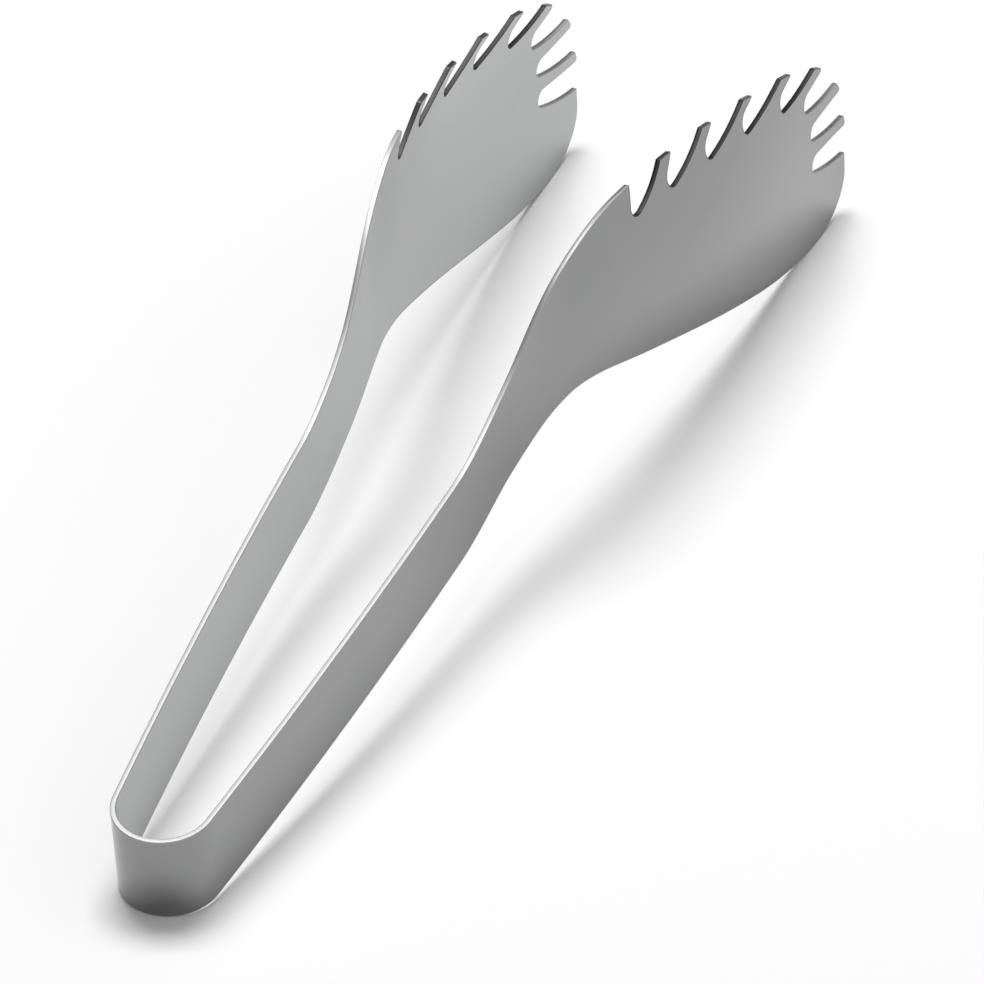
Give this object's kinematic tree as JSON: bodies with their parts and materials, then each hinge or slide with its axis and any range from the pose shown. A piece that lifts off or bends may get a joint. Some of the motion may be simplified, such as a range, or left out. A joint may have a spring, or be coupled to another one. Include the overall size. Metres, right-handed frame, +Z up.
{
  "type": "spaghetti tongs",
  "caption": "One-piece sprung steel tongs: a U-bent strip whose two arms end in broad, shallow-cupped heads with forward-raked slots along the upper edge and round the tip.",
  "frame": {"origin": "on the surface the tongs lie on, under the middle of their length and width", "axes": "+X along the tongs from the bend to the tips, +Y towards the left arm, +Z up; the tongs lie on the bend's lower edge and on the lower edges of both heads, so the arms climb 8 degrees towards the neck"},
  "size_m": [0.2516, 0.0576, 0.0602],
  "materials": {
    "steel": "satin stainless steel, finely brushed along the strip, with lightly rounded bright edges"
  },
  "bodies": {
    "spring_bend": {"spring_bend": "steel"},
    "left_arm": {"left_arm": "steel", "left_head": "steel"},
    "right_arm": {"right_arm": "steel", "right_head": "steel"}
  },
  "joints": [
    {"name": "left_flex", "type": "hinge", "parent": "spring_bend", "child": "left_arm", "pos_m": [-0.09637, 0.01068, 0.01286], "axis": [0.1388, 0, -0.9903], "range_deg": [-2, 6.85], "stiffness_Nm_per_rad": 4.2},
    {"name": "right_flex", "type": "hinge", "parent": "spring_bend", "child": "right_arm", "pos_m": [-0.09637, -0.01068, 0.01286], "axis": [-0.1388, 0, 0.9903], "range_deg": [-2, 6.85], "stiffness_Nm_per_rad": 4.2}
  ],
  "couplings": [
    {"joint": "right_flex", "follows": "left_flex", "ratio": 1}
  ]
}
